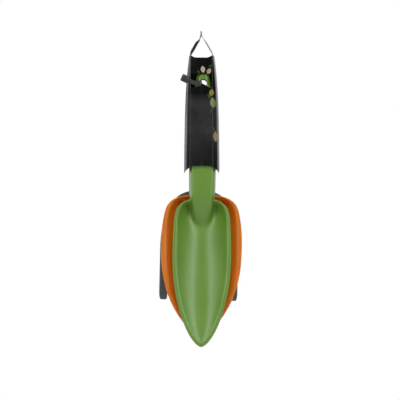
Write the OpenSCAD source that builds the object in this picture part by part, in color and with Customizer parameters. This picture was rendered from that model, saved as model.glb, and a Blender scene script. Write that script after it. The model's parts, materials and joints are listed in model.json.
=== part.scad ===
// A set of three moulded hand tools, nested one behind the other in a folded card
// hang sleeve and threaded on one cable tie: a narrow planting trowel in front, a wide
// scoop behind it, and a three tine cultivator at the back.
// +Z is up along the tools, the blades open towards -Y, and the origin is the point
// under the card loop that rests on a display peg.

/* [Trowel] */
// Half width of the trowel blade at its widest
trowel_half = 32.2; // [29:0.1:34]
// Height of the trowel blade's widest line
trowel_wide_z = -238; // [-245:1:-230]
// Height of the trowel's tip
trowel_tip_z = -336.6; // [-345:0.1:-325]
// Depth of the trowel blade behind its rim
trowel_depth = 15; // [10:0.5:15]

/* [Scoop] */
// Half width of the scoop blade at its widest
scoop_half = 44.6; // [40:0.1:46]
// Height of the scoop blade's widest line
scoop_wide_z = -222; // [-228:1:-216]
// Height of the scoop's tip
scoop_tip_z = -328; // [-335:0.5:-315]
// Depth of the scoop blade behind its rim
scoop_depth = 16.5; // [15:0.5:17]

/* [Cultivator] */
// Distance of each outer tine from the middle of the cultivator
tine_spread = 38.8; // [36:0.1:41]
// Width of a tine
tine_w = 9.3; // [7:0.1:10]
// Thickness of a tine
tine_t = 4.4; // [3:0.1:5]
// Height at which the tines start to bend back
tine_bend_z = -268; // [-270:1:-255]
// Radius of the bend at the end of a tine
tine_bend_r = 18.5; // [14:0.5:22]

/* [Handles] */
// Distance from one handle to the next one behind it
pitch = 9; // [9:0.1:9.4]
// Depth of a handle's channel
channel_d = 8.4; // [7:0.1:8.5]
// Wall of the mouldings
wall = 2.4; // [2:0.1:2.8]
// Diameter of the hole in the end of each handle
eyelet_d = 8.2; // [8:0.1:9]
// How far the trowel leans on the tie, in degrees
trowel_lean = 0.45; // [0.2:0.05:0.7]
// How far the scoop leans on the tie, in degrees
scoop_lean = 0.6; // [0.3:0.1:0.8]
// How far the cultivator leans on the tie, in degrees
cultivator_lean = 1.35; // [1:0.05:1.5]
// How much narrower the cultivator's handle is on each side, near its head
cultivator_slim = 1.5; // [0:0.1:2]

/* [Sleeve] */
// Thickness of the card
card = 0.8; // [0.6:0.1:1]
// Half width of the front at its lower end
front_half = 12.6; // [12:0.1:13]
// Half width of the front at its upper end
front_half_top = 11.6; // [11:0.1:12]
// Half width of the whole sleeve at its lower end
side_half = 18.8; // [18.5:0.1:20]
// How much narrower each side is at the upper end
side_taper = 6; // [5:0.1:6]
// Depth of the sleeve outside
sleeve_d = 31; // [30.6:0.1:32]
// Depth of the slanting strip beside the front
strip_d = 8; // [6:0.5:9]
// Height of the front's upper edge
sleeve_top_z = -17; // [-18:0.5:-16]
// Height of the front's lower edge at its sides
sleeve_end_z = -138.5; // [-142:0.5:-132]
// How far the side panels reach below the front
side_reach = 7; // [4:0.5:12]

/* [Hanger] */
// Width of the two hanger tabs, front to back
tab_w = 17; // [12:1:20]
// Height of the crest where the tabs are joined
crest_z = 10.4; // [8:0.1:12]

/* [Tie] */
// Width of the tie's strap
strap_w = 4.8; // [3.6:0.1:4.8]
// Thickness of the tie's strap
strap_t = 1.2; // [1:0.1:1.4]
// Slope of the tie across the front, in degrees
tie_tilt = 18; // [10:1:20]

/* [Hidden] */
$fn = 64;

green = "#64913c";
orange = "#c46a1e";
dark_grey = "#474e53";
card_black = "#1c1c1e";
nylon = "#55565a";

// The handles: front faces, one behind the other, and their shared hole
trowel_y = -1.5 * pitch;
scoop_y = trowel_y + pitch;
cultivator_y = scoop_y + pitch;
hole_x = 1.5;
hole_z = -46.7;
hole_r = eyelet_d / 2;
eyelet_r = 7.6;
eyelet_top = 4.6;
eyelet_t = 5;
channel_top_z = -57;
// Half width of a handle along its length, from the blade up
handle_line = [[-207, 10.8], [-194, 11.8], [-180, 13.2], [-165, 14.3], [-146, 14.6], [-57, 11]];
wall_run = 2.6;
wall_slope = 3.2;
wall_rise = 12;
crown = 1.2;
edge_t = 1;

// The blades: rim, floor and the way the outline closes
rim_w = 3.8;
floor_half = 11;
floor_share = 0.42;
rear_run = 13;
corner_power = 10;
blade_t = 2.6;
floor_power = 2.2;
// Fields of a blade
HALF = 0; WIDE = 1; TIP = 2; TOP = 3; TAPER = 4; POWER = 5; ROOT = 6;
RIM = 7; DEPTH = 8; FACE = 9; FALL = 10; FALL_RUN = 11;
trowel_blade = [
    trowel_half, trowel_wide_z, trowel_tip_z, -172.5, 0.11, 1.9, 0.62,
    trowel_y + 4.5, trowel_depth, trowel_y, -170, 37];
scoop_blade = [
    scoop_half, scoop_wide_z, scoop_tip_z, -168.3, 0.2, 2.6, 0.88,
    scoop_y + 4.5, scoop_depth, scoop_y, -162, 38];

// The cultivator's head falls back behind the scoop before its tines spread
head_fall_z = -156;
head_end_z = -186;
head_fall = 17;
tine_y = cultivator_y + 13.6;

sleeve_y = -sleeve_d / 2;
side_draw = 38;
fold_gap = 0.05;
hole_card_r = 6;
window_top_z = -37;
window_end_z = -53.6;
window_rise = 3;
seam = 0.5;
arch = 1;
top_dip = 2.4;

function clamp(v) = max(0, min(1, v));
function ease(v) = let (c = clamp(v)) c * c * (3 - 2 * c);

// ---- outlines and surfaces of a moulded tool ----

function handle_half(z) = lookup(z, handle_line);

function blade_half(b, z) =
    z > b[WIDE]
    ? let (v = (z - b[WIDE]) / (b[TOP] - b[WIDE]))
        b[HALF] * (1 - b[TAPER] * v * v) * sqrt(max(0, 1 - pow(v, corner_power)))
    : let (u = (b[WIDE] - z) / (b[WIDE] - b[TIP]))
        b[HALF] * pow(max(0, 1 - pow(u, b[POWER])), b[ROOT]);

function tool_half(b, z) =
    z > b[TOP] ? handle_half(z) + 0.5
    : z > b[WIDE] ? max(handle_half(z) + 0.5, blade_half(b, z))
    : blade_half(b, z);

// Depth of the trough behind the rim: flat floor, straight side walls, steep rear wall
function trough(b, x, z) =
    let (half = blade_half(b, z) - rim_w,
        bottom = min(floor_half, floor_share * blade_half(b, z)),
        side = clamp((half - abs(x)) / max(0.5, half - bottom)),
        rear = clamp((b[TOP] - rim_w - z) / rear_run),
        along = clamp((b[TOP] - z) / (b[TOP] - b[TIP])))
    b[DEPTH] * (1 - pow(along, floor_power)) * min(side, rear);

function face_y(b, z) =
    b[FACE] + (b[RIM] + b[DEPTH] - b[FACE]) * pow(max(0, (b[FALL] - z) / b[FALL_RUN]), 1.4);

function channel_front(b, x, z) =
    let (half = handle_half(z))
    face_y(b, z) + crown * pow(x / half, 2) + wall_slope * max(0, abs(x) - half + wall_run);

function channel_back(b, x, z) =
    let (half = handle_half(z))
    face_y(b, z) + wall + crown * pow(x / half, 2)
    + wall_slope * max(0, abs(x) - half + wall_run + wall);

// The channel's walls grow from the blade's rim to their full depth above it
function wall_end(b, z, at_rim, at_handle) =
    at_rim + (at_handle - at_rim) * ease((z - b[TOP]) / wall_rise);

function front_y(b, x, z) = min(channel_front(b, x, z), z < b[TOP]
    ? b[RIM] + trough(b, x, z)
    : wall_end(b, z, b[RIM], face_y(b, z) + channel_d - edge_t));

function back_y(b, x, z) = min(channel_back(b, x, z), z < b[TOP]
    ? b[RIM] + trough(b, x, z) + blade_t
    : wall_end(b, z, b[RIM] + blade_t, face_y(b, z) + channel_d));

// Columns of the sheet: some follow the handle, the rest spread over the blade
inner_columns = [0, 0.35, 0.6, 0.74, 0.83, 0.92, 1];
outer_columns = [0.18, 0.4, 0.6, 0.8, 1];
function half_columns(inner, outer) = concat(
    [for (c = inner_columns) c * inner],
    [for (c = outer_columns) inner + c * (outer - inner)]);
function mirrored(list) = concat(
    [for (i = [len(list) - 1:-1:1]) -list[i]], list);

// A closed sheet between two surfaces over the same rows and columns, top row first
module sheet(front, back) {
    rows = len(front);
    columns = len(front[0]);
    function a(i, j) = i * columns + j;
    function b(i, j) = rows * columns + a(i, j);
    last_row = rows - 1;
    last_column = columns - 1;
    surfaces = [for (i = [0:rows - 2], j = [0:columns - 2]) each [
        [a(i, j), a(i, j + 1), a(i + 1, j + 1)], [a(i, j), a(i + 1, j + 1), a(i + 1, j)],
        [b(i, j), b(i + 1, j + 1), b(i, j + 1)], [b(i, j), b(i + 1, j), b(i + 1, j + 1)]]];
    sides = [for (i = [0:rows - 2]) each [
        [a(i, 0), a(i + 1, 0), b(i + 1, 0)], [a(i, 0), b(i + 1, 0), b(i, 0)],
        [a(i, last_column), b(i + 1, last_column), a(i + 1, last_column)],
        [a(i, last_column), b(i, last_column), b(i + 1, last_column)]]];
    ends = [for (j = [0:columns - 2]) each [
        [a(0, j + 1), a(0, j), b(0, j)], [a(0, j + 1), b(0, j), b(0, j + 1)],
        [a(last_row, j), a(last_row, j + 1), b(last_row, j + 1)],
        [a(last_row, j), b(last_row, j + 1), b(last_row, j)]]];
    polyhedron(
        points = concat([for (row = front) each row], [for (row = back) each row]),
        faces = concat(surfaces, sides, ends));
}

// Rounded end of a handle, with the hole that the tie goes through
module eyelet(y) {
    translate([0, y + eyelet_t + 0.3, hole_z])
        rotate([90, 0, 0])
            linear_extrude(eyelet_t)
                difference() {
                    union() {
                        circle(eyelet_r);
                        translate([0, eyelet_top])
                            circle(eyelet_r);
                        translate([-eyelet_r, 0])
                            square([2 * eyelet_r, eyelet_top]);
                        polygon([[-eyelet_r, 0], [-10.4, -11.5], [10.4, -11.5], [eyelet_r, 0]]);
                    }
                    circle(hole_r);
                }
}

module bladed_tool(b) {
    rows = concat(
        [channel_top_z, -100, -146],
        [for (k = [4:-1:1]) b[TOP] + wall_rise * k / 4],
        [b[TOP] + 0.02, b[TOP] - 0.4],
        [for (k = [1:14]) b[TOP] - 1.5 * k],
        [for (k = [1:12]) let (from = b[TOP] - 21) from + (b[TIP] + 30 - from) * k / 12],
        [for (k = [1:7]) b[TIP] + 30 * (1 - k / 7.1)]);
    function columns(z) = mirrored(half_columns(
        min(handle_half(z), 0.8 * tool_half(b, z)), tool_half(b, z)));
    front = [for (z = rows) [for (x = columns(z)) [x, front_y(b, x, z), z]]];
    back = [for (z = rows) [for (x = columns(z)) [x, back_y(b, x, z), z]]];
    sheet(front, back);
    eyelet(b[FACE]);
}

// Turns a tool about the hole it hangs from
module hung(lean)
    translate([hole_x, 0, hole_z])
        rotate([0, lean, 0])
            translate([0, 0, -hole_z])
                children();

module trowel()
    color(green)
        hung(trowel_lean)
            bladed_tool(trowel_blade);

module scoop()
    color(orange)
        hung(scoop_lean)
            bladed_tool(scoop_blade);

// ---- cultivator ----

// A bar with chamfered corners swept along a path, flat side to the front
module bar(path) {
    c = 1;
    w = tine_w / 2;
    t = tine_t / 2;
    outline = [[w, c - t], [w, t - c], [w - c, t], [c - w, t], [-w, t - c], [-w, c - t],
        [c - w, -t], [w - c, -t]];
    n = len(path);
    m = len(outline);
    function unit(v) = v / norm(v);
    function along(i) = unit(path[min(n - 1, i + 1)] - path[max(0, i - 1)]);
    rings = [for (i = [0:n - 1])
        let (d = along(i), side = unit(cross([0, 1, 0], d)), out = cross(d, side))
        [for (p = outline) path[i] + p[0] * side + p[1] * out]];
    walls = [for (i = [0:n - 2], j = [0:m - 1]) let (k = (j + 1) % m) each [
        [i * m + j, (i + 1) * m + k, i * m + k], [i * m + j, (i + 1) * m + j, (i + 1) * m + k]]];
    polyhedron(
        points = [for (ring = rings) each ring],
        faces = concat(walls, [[for (j = [0:m - 1]) j], [for (j = [m - 1:-1:0]) (n - 1) * m + j]]));
}

// The end of every tine: down, then round a bend towards the back
function tine_end(x, y) = concat(
    [[x, y, tine_bend_z + 12]],
    [for (turn = [0:15:75])
        [x, y + tine_bend_r * (1 - cos(turn)), tine_bend_z - tine_bend_r * sin(turn)]]);

// An outer tine leaves the neck sideways and comes round a quarter ellipse
function outer_tine(side) =
    let (start = [5, -169.5], reach = [tine_spread - 5, 58])
    concat(
        [for (turn = [0:10:90])
            [side * (start[0] + reach[0] * sin(turn)),
                tine_y - 1.8 + 1.8 * ease(turn / 40),
                start[1] - reach[1] * pow(1 - cos(turn), 1.2)]],
        tine_end(side * tine_spread, tine_y));

function head_y(z) = cultivator_y + head_fall * ease((head_fall_z - z) / (head_fall_z - head_end_z));

middle_tine_y = cultivator_y + head_fall + tine_t / 2;

module neck_and_handle() {
    rows = [channel_top_z, -100, -146, -156, -160, -164, -168, -172, -176, -180, -186, -192];
    function neck_half(z) =
        handle_half(z) - cultivator_slim * clamp((channel_top_z - z) / (channel_top_z + 100));
    function columns(z) = mirrored([for (c = inner_columns) c * neck_half(z)]);
    function front_at(x, z) = let (half = neck_half(z))
        head_y(z) + crown * pow(x / half, 2)
        + min(channel_d - edge_t - crown, wall_slope * max(0, abs(x) - half + wall_run));
    function back_at(x, z) = let (half = neck_half(z))
        head_y(z) + min(channel_d, wall + crown * pow(x / half, 2)
            + wall_slope * max(0, abs(x) - half + wall_run + wall));
    sheet(
        [for (z = rows) [for (x = columns(z)) [x, front_at(x, z), z]]],
        [for (z = rows) [for (x = columns(z)) [x, back_at(x, z), z]]]);
}

module cultivator()
    color(dark_grey)
        hung(cultivator_lean) {
            neck_and_handle();
            eyelet(cultivator_y);
            bar(concat([[0, middle_tine_y - 0.5, -181], [0, middle_tine_y, -200]],
                tine_end(0, middle_tine_y)));
            for (side = [-1, 1])
                bar(outer_tine(side));
        }

// ---- sleeve ----

// Half widths of the sleeve at a height: a straight front, sides that draw in at the top
function front_at(z) = lookup(z, [[sleeve_end_z, front_half], [sleeve_top_z, front_half_top]]);
function side_at(z) = side_half - side_taper * exp((z - sleeve_top_z) / side_draw);

// A flat piece of card standing across the sleeve, its front at y
module panel(y, outline)
    translate([0, y + card, 0])
        rotate([90, 0, 0])
            linear_extrude(card)
                polygon(outline);

// Lower edge of a front or back panel: a shallow arch
function arch_z(x, half) = sleeve_end_z + arch * (1 - pow(x / half, 2));

// Half width of the card between the two folds beside the front
function between_folds(z) = front_at(z) - card - fold_gap;

module sleeve_front_band() {
    top_half = between_folds(sleeve_top_z);
    color(card_black)
        panel(sleeve_y, concat(
            [for (x = [-1:0.25:1]) [x * top_half, sleeve_top_z - top_dip * (1 - pow(x, 4))]],
            [[between_folds(window_top_z), window_top_z + 2], [top_half - 2, window_top_z],
                [2 - top_half, window_top_z], [-between_folds(window_top_z), window_top_z + 2]]));
}

module flap(side)
    color(card_black)
        panel(sleeve_y, concat(
            [for (k = [0:4]) let (x = max(seam / 2, between_folds(window_end_z) * k / 4))
                [side * x, window_end_z + window_rise * (1 - pow(x / between_folds(window_end_z), 2))]],
            [for (k = [4:-1:0]) let (x = max(seam / 2, between_folds(sleeve_end_z) * k / 4))
                [side * x, arch_z(x, front_half)]]));

module sleeve_left_flap() flap(-1);
module sleeve_right_flap() flap(1);

// Slanting strip beside the front, then the straight side, folded from one panel
module side_panel(side) {
    strip_y = sleeve_y + strip_d;
    rear_y = -sleeve_y - card - fold_gap;
    rows = 10;
    function height(t, reach) = sleeve_top_z + (sleeve_end_z - reach - sleeve_top_z) * t;
    function row(t, inset) =
        let (front_z = height(t, 0), fold_z = height(t, side_reach))
        [[front_at(front_z) - inset, sleeve_y + 0.3 * inset, front_z],
            [side_at(fold_z) - inset, strip_y + 0.2 * inset, fold_z],
            [side_at(front_z) - inset, rear_y, front_z]];
    function placed(row) = side > 0
        ? row
        : [for (k = [2:-1:0]) [-row[k][0], row[k][1], row[k][2]]];
    color(card_black)
        sheet(
            [for (k = [0:rows]) placed(row(k / rows, 0))],
            [for (k = [0:rows]) placed(row(k / rows, card))]);
}

module sleeve_left_side() side_panel(-1);
module sleeve_right_side() side_panel(1);

module sleeve_back() {
    heights = [for (k = [0:9]) sleeve_top_z + (sleeve_end_z - sleeve_top_z) * k / 10];
    color(card_black)
        difference() {
            panel(-sleeve_y - card, concat(
                [for (z = heights) [side_at(z), z]],
                [for (k = [4:-1:-4]) let (x = side_at(sleeve_end_z) * k / 4)
                    [x, arch_z(x, side_at(sleeve_end_z))]],
                [for (k = [9:-1:0]) [-side_at(heights[k]), heights[k]]]));
            translate([hole_x, 0, hole_z])
                rotate([-90, 0, 0])
                    cylinder(h = sleeve_d, r = hole_card_r);
        }
}

// ---- hanger ----

// Side outline of one tab: up from the side panel, inwards, then straight up the crest
tab_line = [[12.8, sleeve_top_z + 0.05], [11.9, -13.5], [9.2, -7.7], [5.2, -0.5], [card + 0.1, 5]];

module hanger_tab(side) {
    outer = concat(tab_line, [[card + 0.05, crest_z]]);
    inner = [for (p = outer) [p[0] - card, p[1]]];
    last = len(outer) - 1;
    color(card_black)
        translate([0, tab_w / 2, 0])
            rotate([90, 0, 0])
                linear_extrude(tab_w)
                    polygon([for (p = concat(outer, [for (i = [last:-1:0]) inner[i]]))
                        [side * p[0], p[1]]]);
}

module hanger_left_tab() hanger_tab(-1);
module hanger_right_tab() hanger_tab(1);

// ---- cable tie ----

tie_z = hole_z - 1.2;
loop_front = sleeve_y - 0.6 - strap_t;
loop_back = -loop_front;
loop_left = -18.6;
loop_right = hole_x - 0.9;
loop_r = 3.2;
head_size = [9.2, 5.4, 7];
head_corner = [loop_left - 4, sleeve_y - 0.1 - head_size[1], (strap_w - head_size[2]) / 2];

module rounded_box(low, high, r) {
    translate([low[0] + r, low[1]]) square([high[0] - low[0] - 2 * r, high[1] - low[1]]);
    translate([low[0], low[1] + r]) square([high[0] - low[0], high[1] - low[1] - 2 * r]);
    for (x = [low[0] + r, high[0] - r], y = [low[1] + r, high[1] - r])
        translate([x, y]) circle(r);
}

// Carries the tie: its plane leans across the front, through the handles' hole
module tied()
    translate([hole_x, 0, tie_z])
        rotate([0, tie_tilt, 0])
            translate([-hole_x, 0, -strap_w / 2])
                children();

// The strap starts at the head's side and comes back into it from behind
module tie_strap()
    color(nylon)
        tied()
            difference() {
                linear_extrude(strap_w)
                    difference() {
                        rounded_box([loop_left, loop_front], [loop_right, loop_back], loop_r);
                        rounded_box([loop_left + strap_t, loop_front + strap_t],
                            [loop_right - strap_t, loop_back - strap_t], loop_r - strap_t);
                    }
                translate(head_corner)
                    cube(head_size);
            }

module tie_head()
    color(nylon)
        tied()
            translate(head_corner)
                cube(head_size);

trowel();
scoop();
cultivator();
sleeve_front_band();
sleeve_left_flap();
sleeve_right_flap();
sleeve_left_side();
sleeve_right_side();
sleeve_back();
hanger_left_tab();
hanger_right_tab();
tie_strap();
tie_head();
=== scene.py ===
import json
import math

import bpy
import numpy as np
from mathutils import Matrix, Vector


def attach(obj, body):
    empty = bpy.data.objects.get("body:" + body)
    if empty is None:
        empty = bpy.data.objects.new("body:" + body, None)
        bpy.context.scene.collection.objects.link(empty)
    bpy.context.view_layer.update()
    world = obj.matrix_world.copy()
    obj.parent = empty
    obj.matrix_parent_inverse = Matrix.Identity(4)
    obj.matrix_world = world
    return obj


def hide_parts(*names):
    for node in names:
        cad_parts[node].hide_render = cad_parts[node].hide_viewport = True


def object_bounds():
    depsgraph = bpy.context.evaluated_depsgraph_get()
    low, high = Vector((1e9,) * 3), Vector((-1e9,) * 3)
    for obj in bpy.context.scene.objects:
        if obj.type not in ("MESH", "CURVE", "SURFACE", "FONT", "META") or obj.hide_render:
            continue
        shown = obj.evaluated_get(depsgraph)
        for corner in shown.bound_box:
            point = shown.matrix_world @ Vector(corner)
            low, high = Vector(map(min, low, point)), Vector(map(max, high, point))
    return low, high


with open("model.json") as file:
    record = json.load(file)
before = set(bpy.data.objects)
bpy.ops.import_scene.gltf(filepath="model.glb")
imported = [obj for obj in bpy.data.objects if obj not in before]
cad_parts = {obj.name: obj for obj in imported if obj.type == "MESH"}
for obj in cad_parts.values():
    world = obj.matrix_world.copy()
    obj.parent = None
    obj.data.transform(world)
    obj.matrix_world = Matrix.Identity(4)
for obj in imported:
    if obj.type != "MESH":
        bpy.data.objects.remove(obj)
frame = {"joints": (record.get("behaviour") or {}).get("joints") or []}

cad_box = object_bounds()

# Lengths in this script are in millimetres until a mesh is made, in the frame of the CAD:
# +Z up along the tools, the blades open towards -Y, origin under the card loop.
MM = 0.001
PIVOT = [c / MM for c in frame["joints"][0]["pos_m"]]  # the hole that every tool hangs from
HOLE_X, HOLE_Z = PIVOT[0], PIVOT[2]

# ---- small helpers ----------------------------------------------------------------------


def clamp(v):
    return np.clip(v, 0.0, 1.0)


def ease(v):
    c = clamp(v)
    return c * c * (3 - 2 * c)


def soft_min(a, b, k):
    """The smaller of a and b, with a rounded corner about k wide."""
    h = clamp(0.5 + 0.5 * (b - a) / k)
    return b * (1 - h) + a * h - k * h * (1 - h)


def soft_max(a, b, k):
    return -soft_min(-a, -b, k)


def blurred(field, cells):
    """Gaussian blur of a height field, with its border held."""
    reach = int(3 * cells) + 1
    kernel = np.exp(-0.5 * (np.arange(-reach, reach + 1) / cells) ** 2)
    kernel /= kernel.sum()
    for axis in (0, 1):
        padded = np.pad(field, [(reach, reach) if a == axis else (0, 0) for a in (0, 1)], "edge")
        field = np.apply_along_axis(lambda line: np.convolve(line, kernel, "valid"), axis, padded)
    return field


def mesh_object(name, points, faces, materials, smooth=True):
    """A mesh object from points in millimetres."""
    mesh = bpy.data.meshes.new(name)
    mesh.from_pydata([tuple(p) for p in np.asarray(points) * MM], [], faces)
    mesh.validate()
    for material in materials:
        mesh.materials.append(material)
    if smooth:
        mesh.shade_smooth()
    obj = bpy.data.objects.new(name, mesh)
    bpy.context.scene.collection.objects.link(obj)
    return obj


def bake_modifiers(obj):
    """Replaces the object's mesh with what its modifiers make of it."""
    graph = bpy.context.evaluated_depsgraph_get()
    mesh = bpy.data.meshes.new_from_object(obj.evaluated_get(graph))
    old = obj.data
    obj.modifiers.clear()
    obj.data = mesh
    mesh.name = old.name
    bpy.data.meshes.remove(old)


def boolean(obj, other, operation):
    """Joins other to obj, or cuts it out of obj, and removes other."""
    modifier = obj.modifiers.new("boolean", "BOOLEAN")
    modifier.operation = operation
    modifier.solver = "EXACT"
    modifier.object = other
    bake_modifiers(obj)
    bpy.data.objects.remove(other)


def tube(name, rings, material):
    """A closed solid from equal rings of points, one after the other."""
    n, m = rings.shape[:2]
    faces = [(i * m + j, (i + 1) * m + j, (i + 1) * m + (j + 1) % m, i * m + (j + 1) % m)
             for i in range(n - 1) for j in range(m)]
    faces += [tuple(range(m)), tuple((n - 1) * m + j for j in range(m))[::-1]]
    return mesh_object(name, rings.reshape(-1, 3), faces, [material])


def turn(obj, degrees, pivot):
    """Turns a mesh about the front to back axis through a point."""
    there = Matrix.Translation(Vector(pivot) * MM)
    obj.data.transform(there @ Matrix.Rotation(math.radians(degrees), 4, "Y") @ there.inverted())


# ---- materials --------------------------------------------------------------------------


class Nodes:
    """Short names for building a material's node tree."""

    def __init__(self, name):
        self.material = bpy.data.materials.new(name)
        self.material.use_nodes = True
        self.tree = self.material.node_tree
        self.shader = self.tree.nodes["Principled BSDF"]
        self.where = self.add("ShaderNodeTexCoord").outputs["Object"]

    def add(self, kind, **inputs):
        node = self.tree.nodes.new(kind)
        for key, value in inputs.items():
            self.put(node, key, value)
        return node

    def put(self, node, key, value):
        numbered = key[0] == "i" and key[1:].isdigit()
        socket = node.inputs[int(key[1:]) if numbered else key]
        if isinstance(value, bpy.types.NodeSocket):
            self.tree.links.new(value, socket)
        else:
            socket.default_value = value

    def noise(self, scale, detail=3.0, rough=0.5, where=None):
        node = self.add("ShaderNodeTexNoise", Vector=where or self.where, Scale=scale,
                        Detail=detail, Roughness=rough)
        return node.outputs[0]

    def math(self, operation, a, b=0.0, c=0.0):
        node = self.add("ShaderNodeMath", i0=a, i1=b, i2=c)
        node.operation = operation
        return node.outputs[0]

    def ramp(self, value, low, high, out_low=0.0, out_high=1.0):
        node = self.add("ShaderNodeMapRange", Value=value)
        for key, number in zip(("From Min", "From Max", "To Min", "To Max"),
                               (low, high, out_low, out_high)):
            node.inputs[key].default_value = number
        return node.outputs[0]

    def mix(self, share, a, b):
        node = self.tree.nodes.new("ShaderNodeMix")
        node.data_type = "RGBA"
        for socket, value in ((node.inputs[0], share), (node.inputs[6], a), (node.inputs[7], b)):
            if isinstance(value, bpy.types.NodeSocket):
                self.tree.links.new(value, socket)
            else:
                socket.default_value = value
        return node.outputs[2]

    def bump(self, height, distance, strength=1.0, under=None):
        node = self.add("ShaderNodeBump", Height=height, Distance=distance, Strength=strength)
        if under is not None:
            self.put(node, "Normal", under)
        return node.outputs[0]

    def set(self, **inputs):
        for key, value in inputs.items():
            self.put(self.shader, key.replace("_", " "), value)


def rgb(r, g, b):
    return (r, g, b, 1.0)


def plastic(name, colour, deep, roughness, ior=1.45, glow=0.0):
    """Moulded plastic: faint flow marks in the colour, orange peel, fine rub marks on the gloss.
    Glow is the share of the light that wanders inside the wall before it leaves."""
    n = Nodes(name)
    stretched = n.add("ShaderNodeMapping", Vector=n.where)
    stretched.inputs["Scale"].default_value = (1.0, 1.0, 0.12)
    flow = n.noise(90, 2.0, 0.5, stretched.outputs[0])
    cloud = n.noise(28, 3.0)
    share = n.ramp(n.math("ADD", flow, cloud), 0.75, 1.25)
    peel = n.noise(900, 2.0)
    rubs = n.add("ShaderNodeMapping", Vector=n.where)
    rubs.inputs["Rotation"].default_value = (0.0, 0.5, 0.0)
    rubs.inputs["Scale"].default_value = (9.0, 1.0, 0.25)
    scratch = n.noise(420, 4.0, 0.7, rubs.outputs[0])
    worn = n.ramp(scratch, 0.62, 0.74, roughness, roughness + 0.12)
    n.set(Base_Color=n.mix(share, deep, colour), Roughness=worn, IOR=ior,
          Normal=n.bump(peel, 0.00004, 0.35))
    if glow:
        n.set(Subsurface_Weight=glow, Subsurface_Radius=(1.0, 0.45, 0.12), Subsurface_Scale=0.010)
    return n.material


GREEN = plastic("green_plastic", rgb(0.092, 0.194, 0.017), rgb(0.081, 0.176, 0.014), 0.39, 1.60)
ORANGE = plastic("orange_plastic", rgb(0.45, 0.142, 0.006), rgb(0.41, 0.125, 0.005), 0.38, 1.38,
                 0.7)
GREY = plastic("grey_plastic", rgb(0.047, 0.056, 0.063), rgb(0.037, 0.045, 0.050), 0.42)
TIE = plastic("tie_nylon", rgb(0.034, 0.034, 0.038), rgb(0.026, 0.026, 0.029), 0.34)

# A loose scatter of generic petals and leaves printed on the front of the card: centre across
# and along the card, half width, half length, lean in degrees, colour
PETALS = [
    (1.2, -32.2, 2.4, 3.9, 6, rgb(0.34, 0.28, 0.20)),
    (7.8, -34.3, 2.2, 3.6, -24, rgb(0.27, 0.23, 0.18)),
    (9.4, -28.4, 1.1, 2.6, -62, rgb(0.020, 0.045, 0.010)),
    (-3.4, -35.0, 1.0, 2.4, 48, rgb(0.024, 0.060, 0.010)),
    (10.6, -57.6, 2.7, 3.9, -10, rgb(0.19, 0.145, 0.035)),
    (8.0, -61.6, 1.1, 2.9, 40, rgb(0.045, 0.070, 0.015)),
    (12.2, -68.7, 3.1, 5.8, 10, rgb(0.15, 0.19, 0.07)),
    (10.2, -77.4, 1.0, 3.4, -34, rgb(0.030, 0.050, 0.015)),
    (14.9, -105.6, 2.3, 6.0, 4, rgb(0.25, 0.20, 0.09)),
    (13.0, -97.0, 1.0, 3.2, 30, rgb(0.040, 0.060, 0.020)),
]


# In metres, as a material sees them: the print is in front of this, and the painted sheen (a
# lighter band on the front flaps) fades in between the two heights of each pair
PRINT_Y, SHEEN_FOOT, SHEEN_TOP = -0.006, (-0.145, -0.100), (-0.058, -0.066)


def printed_card(name):
    """Black coated card: varnish with a soft sheen, fibre texture, scuffs, a petal print and a
    painted sheen band on the front flaps.
    """
    n = Nodes(name)
    axes = n.add("ShaderNodeSeparateXYZ", Vector=n.where)
    x, y, z = axes.outputs
    fibre = n.noise(2600, 3.0, 0.6)
    cloud = n.noise(60, 4.0)
    colour = n.mix(cloud, rgb(0.0020, 0.0020, 0.0022), rgb(0.0040, 0.0040, 0.0045))
    edge = n.noise(700, 2.0)
    front = n.math("LESS_THAN", y, PRINT_Y)
    # painted sheen: the front flaps are painted a lighter grey between two heights, standing in
    # for the light they catch
    sheen_band = n.math("MULTIPLY", n.ramp(z, *SHEEN_FOOT), n.ramp(z, *SHEEN_TOP))
    painted_sheen = n.math("MULTIPLY", sheen_band,
                    n.math("MULTIPLY", front, n.ramp(cloud, 0.3, 0.7, 0.5, 1.0)))
    colour = n.mix(painted_sheen, colour, rgb(0.026, 0.026, 0.027))
    for across, along, half_w, half_l, lean, ink in PETALS:
        a = math.radians(lean)
        dx = n.math("SUBTRACT", x, across * MM)
        dz = n.math("SUBTRACT", z, along * MM)
        u = n.math("MULTIPLY_ADD", dx, math.cos(a) / (half_w * MM),
                   n.math("MULTIPLY", dz, math.sin(a) / (half_w * MM)))
        v = n.math("MULTIPLY_ADD", dz, math.cos(a) / (half_l * MM),
                   n.math("MULTIPLY", dx, -math.sin(a) / (half_l * MM)))
        # a pointed petal: the width shrinks towards both tips
        girth = n.math("ABSOLUTE", n.math("DIVIDE", u, n.math(
            "MAXIMUM", n.math("SUBTRACT", 1.05, n.math("MULTIPLY", v, v)), 0.05)))
        inside = n.math("MAXIMUM", girth, n.math("ABSOLUTE", v))
        ragged = n.math("MULTIPLY_ADD", edge, 0.25, inside)
        mask = n.math("MULTIPLY", n.ramp(ragged, 1.16, 1.0), front)
        vein = n.ramp(n.math("ABSOLUTE", u), 0.0, 0.14, 0.72, 1.0)
        tone = n.mix(n.math("MULTIPLY", vein, n.ramp(cloud, 0.2, 0.8, 0.75, 1.0)),
                     rgb(ink[0] * 0.35, ink[1] * 0.35, ink[2] * 0.35), ink)
        colour = n.mix(mask, colour, tone)
    scuff = n.ramp(n.noise(240, 5.0, 0.65), 0.66, 0.78)
    colour = n.mix(n.math("MULTIPLY", scuff, 0.06), colour, rgb(0.2, 0.19, 0.18))
    n.set(Base_Color=colour, Roughness=n.ramp(n.noise(22, 2.0), 0.35, 0.65, 0.16, 0.34), IOR=1.36,
          Normal=n.bump(fibre, 0.00003, 0.4, n.bump(cloud, 0.0004, 0.3)))
    return n.material


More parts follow.
